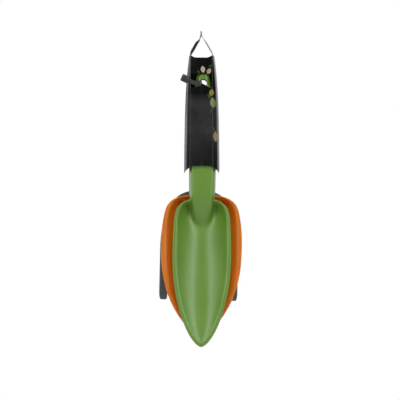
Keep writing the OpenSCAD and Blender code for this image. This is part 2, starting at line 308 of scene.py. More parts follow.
def cut_edge(name):
    """The pale fibrous cut edge of the card."""
    n = Nodes(name)
    fibre = n.noise(3200, 4.0, 0.7)
    n.set(Base_Color=n.mix(n.ramp(fibre, 0.3, 0.7), rgb(0.12, 0.09, 0.07), rgb(0.30, 0.23, 0.18)),
          Roughness=0.85, Normal=n.bump(fibre, 0.00008, 0.6))
    return n.material


CARD = printed_card("sleeve_card")
KRAFT = cut_edge("card_cut_edge")

# ---- bladed tools -----------------------------------------------------------------------

# Every handle: half width along its length from the blade up, and its round end with the hole
HANDLE_LINE = [(-207, 10.8), (-194, 11.8), (-180, 13.2), (-165, 14.3), (-146, 14.6), (-57, 11.0)]
NECK_TO_EYELET_Z, PAD_RUN = -57.0, 4.0
EYELET_R, EYELET_RISE, EYELET_T, EYELET_LIP, HOLE_R = 7.6, 4.6, 5.3, 1.6, 4.1
HANDLE_END_Z = HOLE_Z + EYELET_RISE + EYELET_R
HANDLE_LOW_Z, HANDLE_STEP = -210.0, 0.1
SHOULDER_BLUR = 20  # steps of handle_z
# Its channel: depth, wall, how far in and how steeply the sides fall, crown of the face, edge
CHANNEL_D, WALL, WALL_RUN, WALL_SLOPE, CROWN, EDGE_T = 8.4, 2.4, 1.5, 5.5, 1.0, 1.0
WALL_RISE = 12.0  # the sides grow from the blade's rim to their full depth over this
# A blade's trough: rim and lip, wall, floor and the power with which it rises to the tip
RIM_W, LIP, BLADE_T, FLOOR_HALF, FLOOR_SHARE, FLOOR_POWER = 3.8, 0.2, 2.6, 11.0, 0.42, 2.2
FRONT_RUN, REAR_RUN = 2.0, 7.5
FLOOR_BLEND, REAR_BLEND, CORNER_BLEND, FOOT_BLEND = 0.95, 0.12, 0.2, 0.08
STEEPER, POCKET_REACH, POCKET_FADE = 0.4, 42.0, 24.0  # walls beside the tongue
KEEL, KEEL_RUN = 6.5, 26.0  # the tongue's fall to each side where it runs out on the floor
TONGUE_POWER = 1.4
CORNER_POWER = 10  # squareness of the shoulders
CELL = 0.4  # spacing of the height fields
FIELD_BLUR, SOFT = 1.9, 1.6  # cells; rounding where two surfaces of a moulding meet
EDGE_R, EDGE_SHARE = 0.9, 0.42  # rounding of a wall's edge, and its limit in a thin wall
ROW_STEP, TIP_INSET, END_INSET = 0.85, 0.01, 0.02  # rows of a moulding
ROOT_BLEND = 1.5  # the inner corner between a handle and its blade
CHUNK = 20000  # points measured at a time

# half, wide, tip, top: outline; taper, power, root: how it closes; rim, depth: height of the
# rim and depth behind it; face: front of the handle; fall, fall_run: where the tongue goes down
BLADES = {
    "trowel": dict(half=32.2, wide=-238.0, tip=-336.15, top=-172.5, taper=0.11, power=1.9,
                   root=0.62, rim=-9.0, depth=15.0, face=-13.5, fall=-170.0, fall_run=37.0),
    "scoop": dict(half=44.5, wide=-222.0, tip=-328.0, top=-168.3, taper=0.2, power=2.6,
                  root=0.88, rim=0.0, depth=16.5, face=-4.5, fall=-162.0, fall_run=38.0),
}

handle_z = np.arange(HANDLE_LOW_Z, HANDLE_END_Z, HANDLE_STEP)
handle_half_line = np.interp(handle_z, *zip(*HANDLE_LINE))
shoulder = ease((handle_z - NECK_TO_EYELET_Z) / (HOLE_Z - NECK_TO_EYELET_Z))
handle_half_line = handle_half_line * (1 - shoulder) + EYELET_R * shoulder
handle_half_line = blurred(handle_half_line[None, :], SHOULDER_BLUR)[0]
past_hole = handle_z - HOLE_Z - EYELET_RISE
round_end = np.sqrt(np.maximum(EYELET_R**2 - np.maximum(past_hole, 0) ** 2, 0))
handle_half_line = np.where(past_hole > 0, np.minimum(handle_half_line, round_end),
                            handle_half_line)


def handle_half(z):
    return np.interp(z, handle_z, handle_half_line)


def blade_half(b, z):
    """Half width of the blade's outline: square shoulders above the widest line, a point below."""
    v = clamp((z - b["wide"]) / (b["top"] - b["wide"]))
    u = clamp((b["wide"] - z) / (b["wide"] - b["tip"]))
    above = b["half"] * (1 - b["taper"] * v * v) * np.sqrt(1 - v**CORNER_POWER)
    below = b["half"] * (1 - u ** b["power"]) ** b["root"]
    return np.where(z > b["wide"], above, below)


def outline_distance(b, x, z):
    """Distance inwards from the blade's outline, and how much of it runs sideways."""
    line_z = np.concatenate([np.linspace(b["top"], b["top"] - 12, 60),
                             np.linspace(b["top"] - 12.5, b["tip"] + 4, 260),
                             np.linspace(b["tip"] + 3.9, b["tip"], 40)])
    line_x = blade_half(b, line_z)
    flat_x, flat_z = x.ravel(), z.ravel()
    distance = np.empty(len(flat_x))
    sideways = np.empty(len(flat_x))
    for start in range(0, len(flat_x), CHUNK):
        part = slice(start, start + CHUNK)
        dx = line_x[None, :] - flat_x[part, None]
        dz = line_z[None, :] - flat_z[part, None]
        squared = dx * dx + dz * dz
        nearest = squared.argmin(1)
        rows = np.arange(len(nearest))
        distance[part] = np.sqrt(squared[rows, nearest])
        sideways[part] = dx[rows, nearest] ** 2 / np.maximum(squared[rows, nearest], 1e-6)
    outside = flat_x > blade_half(b, flat_z)
    distance[outside | (flat_z > b["top"]) | (flat_z < b["tip"])] *= -1
    return distance.reshape(x.shape), sideways.reshape(x.shape)


def trough(b, x, z):
    """Depth of the blade behind its rim: a lip, a straight wall and a nearly flat floor."""
    distance, sideways = outline_distance(b, x, z)
    half = blade_half(b, z)
    side_run = np.maximum(half - RIM_W - np.minimum(FLOOR_HALF, FLOOR_SHARE * half), 1.0)
    side_run *= 1 - STEEPER * ease((z - b["top"] + POCKET_REACH) / POCKET_FADE)
    run = np.where(z > b["wide"], side_run,
                   side_run * np.sqrt(sideways) + FRONT_RUN * (1 - sideways))
    side = np.where(z > b["wide"], half - x, distance) - RIM_W
    side = soft_min(side / run, 1.0, FLOOR_BLEND)
    rear = soft_min((b["top"] - RIM_W - z) / REAR_RUN, 1.0, REAR_BLEND)
    share = soft_max(soft_min(side, rear, CORNER_BLEND), 0.0, FOOT_BLEND)
    along = clamp((b["top"] - z) / (b["top"] - b["tip"]))
    lip = LIP * clamp(1 - distance / RIM_W) ** 2
    return b["depth"] * (1 - along**FLOOR_POWER) * share + lip


def grid(half_width, low_z):
    """Lines of a height field from beside the middle to an edge, and from low_z to the eyelet."""
    grid_x = np.arange(-2.0, half_width, CELL)
    grid_z = np.arange(low_z, HANDLE_END_Z + 3.0, CELL)
    z, x = np.meshgrid(grid_z, np.abs(grid_x), indexing="ij")
    return grid_x, grid_z, z, x


def channel_sides(x, half):
    """How far the front and the back of a handle's sides lie behind its face."""
    return [WALL_SLOPE * soft_max(x - half + WALL_RUN + inset, 0.0, SOFT) for inset in (0, WALL)]


def finished(front, back, z, face):
    """Fills the channel in behind the hole, and smooths both surfaces."""
    pad = ease((z - NECK_TO_EYELET_Z) / PAD_RUN)
    back = back * (1 - pad) + (face + EYELET_T) * pad
    front = front * (1 - pad) + np.minimum(front, face + EYELET_T - EYELET_LIP) * pad
    return blurred(front, FIELD_BLUR), blurred(back, FIELD_BLUR)


def tool_surfaces(b):
    """Front and back height fields of a bladed tool over x >= 0, and their grid lines."""
    grid_x, grid_z, z, x = grid(b["half"] + 6.0, b["tip"] - 3.0)
    half = handle_half(z)
    face = b["face"] + (b["rim"] + b["depth"] - b["face"]) * (
        np.maximum(0, (b["fall"] - z) / b["fall_run"]) ** TONGUE_POWER)
    keel = KEEL * ease((b["fall"] - b["fall_run"] + KEEL_RUN - z) / KEEL_RUN)
    crown = (CROWN + keel) * (x / half.clip(5, None)) ** 2
    outer, inner = channel_sides(x, half)
    blade = b["rim"] + trough(b, x, z)
    rise = ease((z - b["top"]) / WALL_RISE)
    in_blade = z < b["top"]
    front_end = b["rim"] + (face + CHANNEL_D - EDGE_T - b["rim"]) * rise
    back_end = b["rim"] + BLADE_T + (face + CHANNEL_D - b["rim"] - BLADE_T) * rise
    front = soft_min(face + crown + outer, np.where(in_blade, blade, front_end), SOFT)
    back = soft_min(face + WALL + crown + inner,
                    np.where(in_blade, blade + BLADE_T, back_end), SOFT)
    return grid_x, grid_z, *finished(front, back, z, b["face"])


def lookup(grid_x, grid_z, field, x, z):
    """Bilinear reading of a height field."""
    column = (np.abs(x) - grid_x[0]) / CELL
    row = (z - grid_z[0]) / CELL
    i = np.clip(row.astype(int), 0, len(grid_z) - 2)
    j = np.clip(column.astype(int), 0, len(grid_x) - 2)
    fi, fj = row - i, column - j
    return ((field[i, j] * (1 - fj) + field[i, j + 1] * fj) * (1 - fi)
            + (field[i + 1, j] * (1 - fj) + field[i + 1, j + 1] * fj) * fi)


def even_rows(half_at, low, high, step):
    """Heights at which the outline half_at is crossed at even steps along its length."""
    z = np.linspace(high, low, 12000)
    x = half_at(z)
    length = np.concatenate([[0], np.cumsum(np.hypot(np.diff(x), np.diff(z)))])
    count = int(length[-1] / step)
    return np.interp(np.linspace(0, length[-1], count), length, z)


EDGE_STEPS = np.array([0.0, 0.05, 0.16, 0.34, 0.6, 0.95])  # columns across a rounded edge


def sheet_mesh(name, half_at, rows, surfaces, material, inner_columns=34):
    """A closed mesh between two height fields inside an outline, with rounded edges."""
    grid_x, grid_z, front_field, back_field = surfaces
    half = half_at(rows)
    slope = np.gradient(half, rows)
    lean = np.sqrt(1 + slope**2)
    steps = np.minimum(EDGE_STEPS[None, :] * lean[:, None], 0.8 * half[:, None] * (
        EDGE_STEPS / EDGE_STEPS[-1])[None, :])
    inside = (half - steps[:, -1])[:, None] * np.linspace(0, 1, inner_columns)[None, :]
    right = np.concatenate([inside, (half[:, None] - steps)[:, -2::-1]], axis=1)
    x = np.concatenate([-right[:, :0:-1], right], axis=1)
    z = np.repeat(rows[:, None], x.shape[1], axis=1)
    front = lookup(grid_x, grid_z, front_field, x, z)
    back = lookup(grid_x, grid_z, back_field, x, z)
    back = np.maximum(back, front + EDGE_R)
    distance = (half[:, None] - np.abs(x)) / lean[:, None]
    radius = np.minimum(EDGE_R, EDGE_SHARE * (back - front))
    inset = np.maximum(radius - distance, 0)
    rounding = radius - np.sqrt(np.maximum(radius**2 - inset**2, 0))
    front, back = front + rounding, back - rounding
    n, m = x.shape
    points = np.concatenate([np.stack([x, front, z], 2).reshape(-1, 3),
                             np.stack([x, back, z], 2).reshape(-1, 3)])
    ids = np.arange(n * m).reshape(n, m)
    other = ids + n * m
    quads = [np.stack([ids[:-1, :-1], ids[1:, :-1], ids[1:, 1:], ids[:-1, 1:]], 2),
             np.stack([other[:-1, :-1], other[:-1, 1:], other[1:, 1:], other[1:, :-1]], 2)]
    quads = [q.reshape(-1, 4) for q in quads]
    quads.append(np.stack([ids[:-1, 0], other[:-1, 0], other[1:, 0], ids[1:, 0]], 1))
    quads.append(np.stack([ids[:-1, -1], ids[1:, -1], other[1:, -1], other[:-1, -1]], 1))
    quads.append(np.stack([ids[0, :-1], ids[0, 1:], other[0, 1:], other[0, :-1]], 1))
    quads.append(np.stack([ids[-1, :-1], other[-1, :-1], other[-1, 1:], ids[-1, 1:]], 1))
    return mesh_object(name, points, np.concatenate(quads).tolist(), [material])


def lathe(name, profile, x, z, material, around=64):
    """A solid turned about a front to back axis, from (radius, y) points."""
    rings = [[(x + r * math.cos(a), y, z + r * math.sin(a))
              for a in np.linspace(0, 2 * math.pi, around, endpoint=False)] for r, y in profile]
    return tube(name, np.array(rings), material)


# Rounding of the hole's mouths: how much wider, and how deep
HOLE_MOUTH = [(2.4, -3), (0.9, -0.25), (0.45, 0.1), (0.12, 0.6), (0.0, 1.2)]


def drill_eyelet(tool, face, material):
    """Cuts the tie's hole through a handle's end, with both mouths rounded over."""
    back = face + EYELET_T
    profile = [(HOLE_R + r, face + y) for r, y in HOLE_MOUTH]
    profile += [(HOLE_R + r, back - y) for r, y in HOLE_MOUTH[::-1]]
    boolean(tool, lathe("eyelet_cutter", profile, 0, HOLE_Z, material), "DIFFERENCE")


def bladed_tool(name, material):
    b = BLADES[name]

    def half_at(z):
        blade = np.where(z < b["top"], blade_half(b, z), 0)
        handle = handle_half(z)
        return np.where(z < b["wide"], blade, soft_max(blade, handle, ROOT_BLEND))

    rows = even_rows(half_at, b["tip"] + TIP_INSET, HANDLE_END_Z - END_INSET, ROW_STEP)
    tool = sheet_mesh(name + "_moulding", half_at, rows, tool_surfaces(b), material)
    drill_eyelet(tool, b["face"], material)
    return tool


def hang(tool, node, degrees):
    """Leans a tool on the tie and lets it ride on its own body."""
    turn(tool, degrees, (0, 0, HOLE_Z))
    tool.data.transform(Matrix.Translation((HOLE_X * MM, 0, 0)))
    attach(tool, node)
    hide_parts(node)


LEAN = {"trowel": 0.45, "scoop": 0.6, "cultivator": 1.35}  # degrees, as they hang
hang(bladed_tool("trowel", GREEN), "trowel", LEAN["trowel"])
hang(bladed_tool("scoop", ORANGE), "scoop", LEAN["scoop"])

# ---- cultivator -------------------------------------------------------------------------

CULTIVATOR_FACE = 4.5
# The head falls back behind the scoop, and ends squarely just below the roots of the tines
HEAD_FALL_Z, HEAD_END_Z, HEAD_FALL, NECK_END_Z = -156.0, -186.0, 17.0, -192.0
CHANNEL_BLEND, NECK_COLUMNS = 1.0, 24
TINE_SPREAD, TINE_W, TINE_T, TINE_BEND_Z, TINE_BEND_R = 38.8, 9.3, 4.4, -268.0, 18.5
LAST_TURN = 75  # degrees that a tine's end turns back
TINE_Y = CULTIVATOR_FACE + 13.6
MIDDLE_TINE_Y = CULTIVATOR_FACE + HEAD_FALL + TINE_T / 2
# An outer tine's start, its reach to the side and down, the power of its shoulder, and how far
# in front of its own plane it leaves the neck
TINE_ROOT, TINE_REACH, TINE_SHOULDER = (5.0, -169.5), (TINE_SPREAD - 5.0, 58.0), 1.2
ROOT_AHEAD, ROOT_TURN = 1.8, 40
MIDDLE_ROOT = (-181, -200)  # heights between which the middle tine leaves the head
# A tine's end: how far from it each change starts, and how much is lost
POINT_RUN, POINT_LOSS, THIN_RUN, THIN_LOSS, CLOSE_RUN, CLOSE_LOSS = 14, 0.22, 20, 0.45, 1.3, 0.25
SLIM, SLIM_RUN = 1.5, 43
VOXEL, RELAX_ROUNDS = 0.6, 4


def neck_half(z):
    """The cultivator's handle is a little narrower towards its head than the other two."""
    return handle_half(z) - SLIM * clamp((NECK_TO_EYELET_Z - z) / SLIM_RUN)


def neck_surfaces():
    grid_x, grid_z, z, x = grid(22.0, NECK_END_Z - 4.0)
    half = neck_half(z)
    face = CULTIVATOR_FACE + HEAD_FALL * ease((HEAD_FALL_Z - z) / (HEAD_FALL_Z - HEAD_END_Z))
    crown = CROWN * (x / half.clip(5, None)) ** 2
    outer, inner = channel_sides(x, half)
    front = face + soft_min(crown + outer, CHANNEL_D - EDGE_T, CHANNEL_BLEND)
    back = face + soft_min(WALL + crown + inner, CHANNEL_D, CHANNEL_BLEND)
    return grid_x, grid_z, *finished(front, back, z, CULTIVATOR_FACE)


def swept(name, path, outline, material, scale):
    """A closed bar: an outline (across, thickness) swept along a path and scaled at each point."""
    along = np.gradient(path, axis=0)
    along /= np.linalg.norm(along, axis=1)[:, None]
    across = np.cross([0.0, 1.0, 0.0], along)
    across /= np.linalg.norm(across, axis=1)[:, None]
    out = np.cross(along, across)
    rings = (path[:, None, :]
             + (outline[None, :, 0] * scale[:, None, 0])[..., None] * across[:, None, :]
             + (outline[None, :, 1] * scale[:, None, 1])[..., None] * out[:, None, :])
    return tube(name, rings, material)


def rounded_outline(width, thickness, power=4.0, count=32):
    """A rectangle with well rounded corners, as a closed superellipse."""
    a = np.linspace(0, 2 * math.pi, count, endpoint=False)
    c, s = np.cos(a), np.sin(a)
    return np.stack([np.sign(c) * np.abs(c) ** (2 / power) * width / 2,
                     np.sign(s) * np.abs(s) ** (2 / power) * thickness / 2], 1)


def resampled(path, step):
    path = np.asarray(path, float)
    length = np.concatenate([[0], np.cumsum(np.linalg.norm(np.diff(path, axis=0), axis=1))])
    at = np.linspace(0, length[-1], int(length[-1] / step) + 1)
    return np.stack([np.interp(at, length, path[:, k]) for k in range(3)], 1)


def tine_end(x, y):
    """Straight down, then round the bend towards the back."""
    bend = [(x, y + TINE_BEND_R * (1 - math.cos(t)), TINE_BEND_Z - TINE_BEND_R * math.sin(t))
            for t in np.radians(np.arange(0, LAST_TURN + 1, 2.5))]
    return [(x, y, TINE_BEND_Z + 30), (x, y, TINE_BEND_Z + 6)] + bend


def tine(name, path):
    """A bar that narrows, thins and closes towards its end."""
    path = resampled(path, 0.8)
    left = np.linalg.norm(path - path[-1], axis=1)
    point = 1 - POINT_LOSS * clamp(1 - left / POINT_RUN) ** 2
    thin = 1 - THIN_LOSS * clamp(1 - left / THIN_RUN)
    close = np.sqrt(clamp(1 - clamp(1 - left / CLOSE_RUN) ** 2)) * CLOSE_LOSS + 1 - CLOSE_LOSS
    scale = np.stack([point * close, thin * close], 1)
    return swept(name, path, rounded_outline(TINE_W, TINE_T), GREY, scale)


def cultivator():
    rows = even_rows(neck_half, NECK_END_Z, HANDLE_END_Z - END_INSET, ROW_STEP)
    tool = sheet_mesh("cultivator_moulding", neck_half, rows, neck_surfaces(), GREY, NECK_COLUMNS)
    turns = np.radians(np.arange(0, 91, 3))
    for side in (-1, 1):
        root = [(side * (TINE_ROOT[0] + TINE_REACH[0] * math.sin(t)),
                 TINE_Y - ROOT_AHEAD + ROOT_AHEAD * float(ease(math.degrees(t) / ROOT_TURN)),
                 TINE_ROOT[1] - TINE_REACH[1] * (1 - math.cos(t)) ** TINE_SHOULDER) for t in turns]
        boolean(tool, tine("side_tine", root + tine_end(side * TINE_SPREAD, TINE_Y)), "UNION")
    middle = [(0, MIDDLE_TINE_Y - 0.5, MIDDLE_ROOT[0]), (0, MIDDLE_TINE_Y, MIDDLE_ROOT[1])]
    boolean(tool, tine("middle_tine", middle + tine_end(0, MIDDLE_TINE_Y)), "UNION")
    # one skin over the joined bars, with the corners between them filled
    remesh = tool.modifiers.new("remesh", "REMESH")
    remesh.mode = "VOXEL"
    remesh.voxel_size = VOXEL * MM
    relax = tool.modifiers.new("relax", "SMOOTH")
    relax.factor, relax.iterations = 0.5, RELAX_ROUNDS
    bake_modifiers(tool)
    tool.data.shade_smooth()
    drill_eyelet(tool, CULTIVATOR_FACE, GREY)
    return tool


hang(cultivator(), "cultivator", LEAN["cultivator"])

# ---- card sleeve ------------------------------------------------------------------------

BOARD = 0.55  # thickness of the card
# Its ends: the sides reach below the flaps, the upper edge dips and the lower edges arch
SLEEVE_TOP_Z, SLEEVE_END_Z, SIDE_REACH, TOP_DIP, ARCH = -17.0, -138.5, 7.0, 2.4, 1.0
# Its section: half depth, depth of the slanting strips, half widths of the front and the back,
# and how the back is drawn in towards the tabs
SLEEVE_Y, STRIP_D = 15.5, 8.0
FRONT_HALF, FRONT_HALF_TOP = 12.6, 11.6
SIDE_HALF, SIDE_TAPER, SIDE_DRAW = 18.8, 6.0, 38.0
# The window between the band and the two flaps, and the hole for the tie
WINDOW_TOP_Z, WINDOW_END_Z, WINDOW_RISE, WINDOW_CORNER, WINDOW_POWER = -37.0, -53.6, 3.0, 2.2, 10
BACK_HOLE_R = 6.0
# How the card gives: at the seam, in each panel, in the sides' wave and in the whole sleeve
SEAM_HALF, SEAM_DIP, SEAM_RUN, FLUTE = 0.2, 0.12, 0.09, 0.25
FOLD_R, STRIP_BULGE, SIDE_BULGE = 0.3, 0.9, 0.35
WAVE, WAVE_ALONG, WAVE_ROUND = 0.12, 0.09, 0.2
SKEW = 0.03
# How far the right flap's top is lifted beside the strap, and where that fades out
RIGHT_RISE, RISE_START, RISE_END_X, RISE_FADE_X, RISE_FADE_Z = 3.0, 0.6, 8.5, 7.5, 25.0
MIDDLE_Z = -80.0  # a height at which the sleeve's section is plain
# Points along each panel and fold, and rows of the band, the window and the flaps
FLAP_N, STRIP_N, SIDE_N, BACK_N, FOLD_N = 14, 9, 12, 14, 5
BAND_ROWS, WINDOW_ROWS, FLAP_ROWS = 10, 6, 44


def front_at(z):
    return np.interp(z, [SLEEVE_END_Z, SLEEVE_TOP_Z], [FRONT_HALF, FRONT_HALF_TOP])


def side_at(z):
    return SIDE_HALF - SIDE_TAPER * math.exp((z - SLEEVE_TOP_Z) / SIDE_DRAW)


def fold_points(corner, before, after, count):
    """A fold rounded with an arc-like curve between two points near the corner."""
    t = np.linspace(0, 1, count)[:, None]
    corner, before, after = (np.array(p, float) for p in (corner, before, after))
    return (1 - t) ** 2 * before + 2 * t * (1 - t) * corner + t**2 * after


def toward(a, b, distance):
    a, b = np.array(a, float), np.array(b, float)
    return a + (b - a) / np.linalg.norm(b - a) * distance


def half_section(z, fluted):
    """Right half of the sleeve's cross-section at a height, from the seam to the back's middle."""
    seam = (SEAM_HALF, -SLEEVE_Y)
    crease = (float(front_at(z)), -SLEEVE_Y)
    fold = (side_at(z), STRIP_D - SLEEVE_Y)
    rear = (side_at(z), SLEEVE_Y)
    middle = (0.0, SLEEVE_Y)
    stops = [seam, crease, fold, rear, middle]
    counts = [FLAP_N, STRIP_N, SIDE_N, BACK_N]
    line = []
    for k in range(4):
        a = stops[k] if k == 0 else toward(stops[k], stops[k + 1], FOLD_R)
        b = stops[k + 1] if k == 3 else toward(stops[k + 1], stops[k], FOLD_R)
        t = np.linspace(0, 1, counts[k])[:, None]
        part = np.array(a) * (1 - t) + np.array(b) * t
        if k == 0:
            part[:, 1] -= fluted * (FLUTE * np.sin(np.pi * t[:, 0])
                                    - SEAM_DIP * np.exp(-(t[:, 0] / SEAM_RUN) ** 2))
        if k == 1:
            part += STRIP_BULGE * np.sin(np.pi * t) * [0.8, -0.6]
        if k == 2:
            part[:, 0] += SIDE_BULGE * np.sin(np.pi * t[:, 0])
        line.append(part)
        if k < 3:
            after = toward(stops[k + 1], stops[k + 2], FOLD_R)
            line.append(fold_points(stops[k + 1], b, after, FOLD_N)[1:-1])
    return np.concatenate(line)


def end_height(k, x, top):
    """Height of the card's upper or lower edge at point k of the half section."""
    crease_at = FLAP_N + 1
    fold_at = crease_at + FOLD_N - 2 + STRIP_N
    rear_at = fold_at + FOLD_N - 2 + SIDE_N
    if top:
        dip = TOP_DIP * (1 - min(1.0, x / FRONT_HALF_TOP) ** 4) if k < crease_at else 0.0
        return SLEEVE_TOP_Z - dip
    if k <= crease_at:
        return SLEEVE_END_Z + ARCH * (1 - (x / FRONT_HALF) ** 2)
    if k <= fold_at:
        return SLEEVE_END_Z - SIDE_REACH * (k - crease_at) / (fold_at - crease_at)
    if k <= rear_at:
        return SLEEVE_END_Z - SIDE_REACH * (1 - (k - fold_at) / (rear_at - fold_at)) ** 1.3
    return SLEEVE_END_Z + ARCH * (1 - (x / SIDE_HALF) ** 2)


def sleeve_rings():
    """Rows of points of the right half, from the upper edge down: band, window, flaps."""
    base = half_section(MIDDLE_Z, 0)
    count = len(base)
    levels = [(stage, k / steps) for stage, steps in enumerate((BAND_ROWS, WINDOW_ROWS, FLAP_ROWS))
              for k in range(steps)] + [(2, 1.0)]
    rings = []
    for stage, t in levels:
        ring = []
        for k in range(count):
            x0 = base[k, 0] if k < FLAP_N else front_at(MIDDLE_Z)
            across = min(1.0, abs(x0) / FRONT_HALF)
            heights = [end_height(k, base[k, 0], True),
                       WINDOW_TOP_Z + WINDOW_CORNER * across**WINDOW_POWER,
                       WINDOW_END_Z + WINDOW_RISE * (1 - across**2),
                       end_height(k, base[k, 0], False)]
            z = heights[stage] * (1 - t) + heights[stage + 1] * t
            fluted = 1.0 if stage == 2 and k < FLAP_N else 0.0
            on_side = FLAP_N + 6 < k < count - BACK_N
            wave = WAVE * math.sin(z * WAVE_ALONG + k * WAVE_ROUND) if on_side else 0.0
            x, y = half_section(z, fluted)[k]
            ring.append((x, y + wave, z))
        rings.append(ring)
    return np.array(rings)


def sleeve_faces(n, m):
    """Quads round the sleeve, open at the window and along the seam between the flaps."""
    faces = []
    for i in range(n - 1):
        in_window = BAND_ROWS <= i < BAND_ROWS + WINDOW_ROWS
        for j in range(m):
            k = (j + 1) % m
            at_seam = j == m - 1
            on_front = min(j, m - 2 - j) < FLAP_N
            if not (at_seam and i >= BAND_ROWS or in_window and on_front):
                faces.append((i * m + j, i * m + k, (i + 1) * m + k, (i + 1) * m + j))
    return faces


def sleeve():
    """The folded card from band to flaps, as one sheet with its own thickness."""
    rings = sleeve_rings()
    left = rings[:, ::-1] * [-1, 1, 1]
    loop = np.concatenate([rings, left[:, 1:]], axis=1)
    n, m = loop.shape[:2]
    x, y, z = (loop[..., k].copy() for k in range(3))
    # the right flap's top stands a little higher beside the strap
    beside = ease((x + SEAM_HALF) / RISE_START) * clamp((RISE_END_X - x) / RISE_FADE_X)
    low_down = clamp((WINDOW_END_Z + WINDOW_RISE - z) / RISE_FADE_Z)
    flap = (np.arange(n) >= BAND_ROWS + WINDOW_ROWS)[:, None] & (y < -SLEEVE_Y + 2)
    loop[..., 2] += np.where(flap, RIGHT_RISE * beside * (1 - low_down), 0.0)
    loop[..., 0] += SKEW * y
    card = mesh_object("folded_sleeve", loop.reshape(-1, 3), sleeve_faces(n, m), [CARD, KRAFT])
    thicken(card)
    hole = lathe("sleeve_hole", [(BACK_HOLE_R, SLEEVE_Y - 3), (BACK_HOLE_R, SLEEVE_Y + 3)],
                 HOLE_X, HOLE_Z, KRAFT)
    boolean(card, hole, "DIFFERENCE")
    return card


def thicken(card):
    """Gives a sheet of card its thickness inwards, with pale cut edges."""
    solid = card.modifiers.new("board", "SOLIDIFY")
    solid.thickness = BOARD * MM
    solid.offset = -1.0
    solid.use_even_offset = True
    solid.use_rim = True
    solid.material_offset_rim = 1
    bake_modifiers(card)
    card.data.set_sharp_from_angle(angle=math.radians(38))


# Side outlines of the left and the right tab: up from the side panel, inwards, then the crest
TAB_LINES = {
    -1: [(12.75, -17.6), (12.6, -16), (11.3, -12.5), (8.8, -7.7), (5.6, -2), (3, 1.9),
         (1.45, 5), (1.15, 7.5), (1.15, 10.35)],
    1: [(12.75, -17.6), (12.6, -16), (10.9, -12), (8.1, -7), (4.4, -0.5), (1.6, 3.4),
        (0.25, 6), (0, 8.4), (0, 10.35)]}
TAB_TWIST = {-1: 13.5, 1: 7.0}  # degrees
TAB_HALF_W, TAB_ROWS, TAB_COLUMNS = 8.3, 64, 24
# The twist comes in over FREE_RUN above the foot, and nearly goes where the tabs meet
FREE_RUN, CREST_Z, CREST_RUN, CREST_TWIST = 8.0, -1.0, 5.0, 0.05
# The foot is wider, to the front and to the back, and bends in over the slanting strip
FOOT_FRONT, FOOT_BACK, FOOT_FOLD = 4.7, 3.0, 0.15
CORNER_Z, CORNER_RUN, CORNER_CUT, CORNER_SHARE = 8.6, 1.8, 2.0, 0.75  # the crest's round corners


def smooth_line(points, count):
    """A curve through the points (Catmull-Rom), evenly spaced in its parameter."""
    p = np.array(points, float)
    p = np.concatenate([[2 * p[0] - p[1]], p, [2 * p[-1] - p[-2]]])
    out = []
    for s in np.linspace(0, len(points) - 1 - 1e-6, count):
        i = int(s)
        t = s - i
        a, b, c, d = p[i:i + 4]
        out.append(0.5 * (2 * b + (c - a) * t + (2 * a - 5 * b + 4 * c - d) * t**2
                          + (3 * b - a - 3 * c + d) * t**3))
    return np.array(out)


def tab(side, name):
    """One hanger tab: it leaves the side panel, bends to the middle and meets the other one."""
    line = smooth_line(TAB_LINES[side], TAB_ROWS)
    foot = TAB_LINES[side][0][1]
    strip_y = STRIP_D - SLEEVE_Y
    points = []
    for x, z in line:
        free = float(ease((z - foot) / FREE_RUN))
        crest = float(ease((z - CREST_Z) / CREST_RUN))
        past = float(clamp((z - CORNER_Z) / CORNER_RUN))
        corner = CORNER_CUT * (1 - math.sqrt(1 - past**2 * CORNER_SHARE))
        twist = side * math.tan(math.radians(TAB_TWIST[side])) * free
        slope = twist * (1 - crest) + CREST_TWIST * crest
        front = -TAB_HALF_W - FOOT_FRONT * (1 - free) + corner
        back = TAB_HALF_W + FOOT_BACK * (1 - free) - corner
        for y in np.linspace(front, back, TAB_COLUMNS):
            folded = FOOT_FOLD * max(0.0, strip_y - y) * (1 - free)
            points.append((side * (x - folded) + slope * y, y, z))
    n, m = TAB_ROWS, TAB_COLUMNS
    faces = [(i * m + j, i * m + j + 1, (i + 1) * m + j + 1, (i + 1) * m + j)
             for i in range(n - 1) for j in range(m - 1)]
    if side < 0:
        faces = [f[::-1] for f in faces]
    card = mesh_object(name, points, faces, [CARD, KRAFT])
    thicken(card)
    return card


card = sleeve()
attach(card, "root")
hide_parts("sleeve_front_band", "sleeve_left_flap", "sleeve_right_flap",
            "sleeve_left_side", "sleeve_right_side", "sleeve_back")
for side, name, node in ((-1, "left_hanger_tab", "hanger_left_tab"),
                         (1, "right_hanger_tab", "hanger_right_tab")):
    piece = tab(side, name)
    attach(piece, "root")
    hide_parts(node)

# ---- cable tie --------------------------------------------------------------------------

STRAP_W, STRAP_T = 4.8, 1.2
# The strap's section: its outer corners, the rails along both edges, the channel's floor, teeth
CORNER_W, CORNER_T, RAIL_W, RAIL_FOOT_W, CHANNEL_FLOOR, TOOTH_D = 0.25, 0.3, 0.9, 1.1, 0.35, 0.16
CLIMB, CLIMB_X, CLIMB_BLEND = 0.46, -7.8, 3.0  # the strap climbs to its head from here
TIE_Z = HOLE_Z - 0.6
LOOP_FRONT, LOOP_BACK = -SLEEVE_Y - 0.6 - STRAP_T / 2, SLEEVE_Y + 0.6 + STRAP_T / 2
LOOP_LEFT, LOOP_RIGHT, LOOP_R = -18.6 + STRAP_T / 2, HOLE_X - 1.3 - STRAP_T / 2, 1.6
# The head: its size with the neck, and its left front corner
HEAD = (10.0, 5.4, 7.8)
HEAD_LOW = (-22.6, -SLEEVE_Y - 0.1 - HEAD[1])
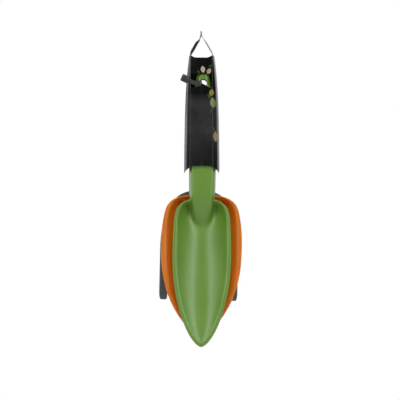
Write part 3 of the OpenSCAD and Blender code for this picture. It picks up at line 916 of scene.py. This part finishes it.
# In it: the neck beyond the block and in front of and behind the strap's middle line; the slot
# and the tongue to the left and right of that line; gap is the room beside the strap's edges
NECK = dict(out=1.6, inside=4.0, front=1.3, back=1.1, gap=0.5)
SLOT = dict(left=1.1, right=0.9, floor=1.4, gap=0.2)
TAIL = dict(front=0.05, back=0.2)
TONGUE = dict(left=1.9, right=0.4, front=0.9, back=3.2, half_w=1.6)


def corner_arc(x, y, start):
    return [(x + LOOP_R * math.cos(a), y + LOOP_R * math.sin(a))
            for a in np.radians(np.linspace(start, start + 90, 12))]


def strap():
    """From the head's side across the front, through the hole, round the back and home."""
    x0, x1 = LOOP_LEFT + LOOP_R, LOOP_RIGHT - LOOP_R
    y0, y1 = LOOP_FRONT + LOOP_R, LOOP_BACK - LOOP_R
    flat = [(HEAD_LOW[0] + HEAD[0] - 1.5, LOOP_FRONT)]
    flat += corner_arc(x1, y0, -90) + corner_arc(x1, y1, 0) + corner_arc(x0, y1, 90)
    flat += [(LOOP_LEFT, HEAD_LOW[1] + HEAD[1] - 1.0)]
    path = resampled([(x, y, 0.0) for x, y in flat], 0.3)
    along = np.gradient(path, axis=0)
    along /= np.linalg.norm(along, axis=1)[:, None]
    out = np.stack([along[:, 1], -along[:, 0], np.zeros(len(path))], 1)
    # a shallow channel with fine teeth on the inner face, plain rounded outer face
    half, t = STRAP_W / 2, STRAP_T / 2
    upper = [(half - CORNER_W, t), (half, t - CORNER_T), (half, CORNER_T - t),
             (half - CORNER_W, -t), (half - RAIL_W, -t), (half - RAIL_FOOT_W, CHANNEL_FLOOR - t)]
    outline = upper + [(-w, o) for w, o in upper[::-1]]
    floor_points = (len(upper) - 1, len(upper))
    teeth = TOOTH_D * (np.arange(len(path)) % 4 < 2)
    rings = [[p + out[i] * (o - (teeth[i] if k in floor_points else 0.0)) + np.array([0, 0, w])
              for k, (w, o) in enumerate(outline)] for i, p in enumerate(path)]
    obj = tube("tie_band", np.array(rings), TIE)
    obj.data.set_sharp_from_angle(angle=math.radians(50))
    return obj


def rounded_block(name, low, high, radius, material, cuts=3):
    """A block with bevelled edges."""
    (x0, y0, z0), (x1, y1, z1) = low, high
    points = [(x, y, z) for x in (x0, x1) for y in (y0, y1) for z in (z0, z1)]
    faces = [(0, 1, 3, 2), (4, 6, 7, 5), (0, 4, 5, 1), (2, 3, 7, 6), (0, 2, 6, 4), (1, 5, 7, 3)]
    obj = mesh_object(name, points, faces, [material], smooth=False)
    bevel = obj.modifiers.new("bevel", "BEVEL")
    bevel.width, bevel.segments = radius * MM, cuts
    bake_modifiers(obj)
    return obj


def tie_head():
    """The head: a rounded block with the slot the strap runs through and its locking tongue."""
    (x0, y0), (w, d, h), half_w = HEAD_LOW, HEAD, STRAP_W / 2
    head = rounded_block("tie_lock", (x0, y0, -h / 2), (x0 + w - NECK["out"], y0 + d, h / 2),
                         1.1, TIE, 4)
    neck = rounded_block("neck", (x0 + w - NECK["inside"], LOOP_FRONT - NECK["front"],
                                  -half_w - NECK["gap"]),
                         (x0 + w, LOOP_FRONT + NECK["back"], half_w + NECK["gap"]), 0.6, TIE)
    boolean(head, neck, "UNION")
    slot = rounded_block("slot", (LOOP_LEFT - SLOT["left"], y0 - 1, -half_w - SLOT["gap"]),
                         (LOOP_LEFT + SLOT["right"], y0 + d - SLOT["floor"],
                          half_w + SLOT["gap"]), 0.3, TIE, 2)
    boolean(head, slot, "DIFFERENCE")
    tail = rounded_block("tail", (LOOP_LEFT - STRAP_T / 2, y0 + TAIL["front"], -half_w),
                         (LOOP_LEFT + STRAP_T / 2, y0 + d - TAIL["back"], half_w), 0.2, TIE, 2)
    boolean(head, tail, "UNION")
    tongue = rounded_block("tongue", (LOOP_LEFT - TONGUE["left"], y0 + TONGUE["front"],
                                      -TONGUE["half_w"]),
                           (LOOP_LEFT - TONGUE["right"], y0 + TONGUE["back"], TONGUE["half_w"]),
                           0.3, TIE, 2)
    boolean(head, tongue, "UNION")
    head.data.shade_smooth()
    head.data.set_sharp_from_angle(angle=math.radians(40))
    return head


def tie_height(x):
    """Height of the strap's middle line: level through the hole, climbing to the head."""
    return TIE_Z + CLIMB * soft_max(CLIMB_X - x, 0.0, CLIMB_BLEND)


def tied(piece, node):
    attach(piece, "root")
    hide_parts(node)


band = strap()
for vertex in band.data.vertices:
    vertex.co.z += float(tie_height(vertex.co.x / MM)) * MM
tied(band, "tie_strap")

lock = tie_head()
lock_z = float(tie_height(LOOP_LEFT))
lock.data.transform(Matrix.Translation((0, 0, lock_z * MM)))
turn(lock, math.degrees(math.atan(CLIMB)), (LOOP_LEFT, 0, lock_z))
tied(lock, "tie_head")

# ---- stage, light, camera ---------------------------------------------------------------

FLOOR_GAP, FLOOR_R, FLOOR_SIDES = 0.14, 0.62, 96  # metres, like all that follows


def make_floor():
    mesh = bpy.data.meshes.new("floor")
    ring = [(FLOOR_R * math.cos(a), FLOOR_R * math.sin(a), cad_box[0][2] - FLOOR_GAP)
            for a in np.linspace(0, 2 * math.pi, FLOOR_SIDES, endpoint=False)]
    mesh.from_pydata(ring, [], [tuple(range(FLOOR_SIDES))])
    n = Nodes("pale_floor")
    n.set(Base_Color=rgb(0.82, 0.82, 0.81), Roughness=0.9)
    mesh.materials.append(n.material)
    floor = bpy.data.objects.new("floor", mesh)
    bpy.context.scene.collection.objects.link(floor)


# Area lights, all turned to the middle of the tools: place, size, power
LIGHT_AIM = (0.0, 0.0, -0.19)
LIGHTS = {
    "right_strip": ((0.75, -1.05, 0.1), (0.4, 1.3), 10.0),
    "left_strip": ((-0.75, -1.05, 0.1), (0.4, 1.3), 9.0),
    "front_softbox": ((0.1, -1.3, 1.35), (0.8, 0.5), 18.0),
    "top_softbox": ((0.15, -0.4, 1.1), (0.9, 0.7), 2.0),
    "right_panel": ((1.1, 0.95, -0.1), (0.8, 1.4), 6.0),
    "left_panel": ((-1.2, 0.65, -0.1), (0.8, 1.4), 11.0),
    "backdrop": ((0.5, 1.6, -0.1), (1.1, 2.2), 6.5),
}
WORLD_SEEN, WORLD_LIT = 1.0, 0.06


def area_light(name, at, size, power):
    light = bpy.data.lights.new(name, "AREA")
    light.shape = "RECTANGLE"
    light.size, light.size_y = size
    light.energy = power
    obj = bpy.data.objects.new(name, light)
    obj.location = at
    obj.rotation_mode = "QUATERNION"
    obj.rotation_quaternion = (Vector(LIGHT_AIM) - Vector(at)).to_track_quat("-Z", "Y")
    obj.visible_camera = False
    bpy.context.scene.collection.objects.link(obj)


def make_world(seen, lit):
    """A white surround for the eye, and a softer grey one for the light it gives."""
    world = bpy.data.worlds.new("studio")
    world.use_nodes = True
    tree = world.node_tree
    background = tree.nodes["Background"]
    path = tree.nodes.new("ShaderNodeLightPath")
    mix = tree.nodes.new("ShaderNodeMapRange")
    mix.inputs["To Min"].default_value = lit
    mix.inputs["To Max"].default_value = seen
    tree.links.new(path.outputs["Is Camera Ray"], mix.inputs["Value"])
    tree.links.new(mix.outputs[0], background.inputs["Strength"])
    background.inputs["Color"].default_value = rgb(1, 1, 1)
    bpy.context.scene.world = world


make_floor()
make_world(WORLD_SEEN, WORLD_LIT)
for name, (at, size, power) in LIGHTS.items():
    area_light(name, at, size, power)

FRAME_W, CAMERA_DISTANCE, SENSOR = 0.440, 2.2, 36.0  # the sensor in millimetres
CAMERA_X, CAMERA_Z = -0.002, -0.1749
camera_data = bpy.data.cameras.new("camera")
camera_data.sensor_width = SENSOR
camera_data.lens = SENSOR * CAMERA_DISTANCE / FRAME_W
camera = bpy.data.objects.new("camera", camera_data)
camera.location = (CAMERA_X, -CAMERA_DISTANCE, CAMERA_Z)
camera.rotation_euler = (math.pi / 2, 0, 0)
bpy.context.scene.collection.objects.link(camera)
bpy.context.scene.camera = camera
bpy.context.scene.view_settings.view_transform = "Standard"
